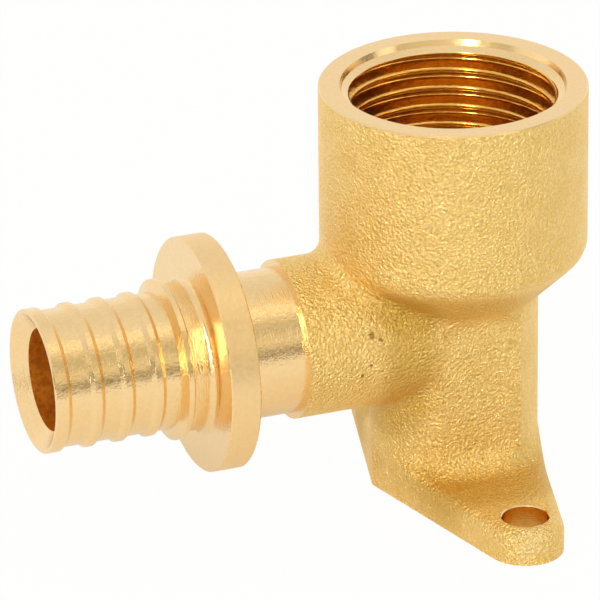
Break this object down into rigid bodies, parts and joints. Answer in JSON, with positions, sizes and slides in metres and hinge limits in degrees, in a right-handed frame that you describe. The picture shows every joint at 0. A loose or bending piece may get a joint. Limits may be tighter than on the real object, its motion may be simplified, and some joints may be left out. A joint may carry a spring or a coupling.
{
  "type": "wall plate elbow",
  "caption": "Brass wall plate elbow with a threaded socket, a ribbed pipe spigot with a collar at right angles to it, and a slim base plate with screw ears.",
  "frame": {"origin": "middle of the flat wall face, on the threaded socket's axis", "axes": "+Z away from the wall along the threaded socket's axis, -X along the pipe spigot towards its end, screw ears along +Y and -Y"},
  "size_m": [0.0535, 0.0422, 0.0393],
  "materials": {
    "brass_body": "forged and blasted, turned where it seals"
  },
  "bodies": {
    "root": {"elbow_body": "brass_body"}
  },
  "joints": []
}
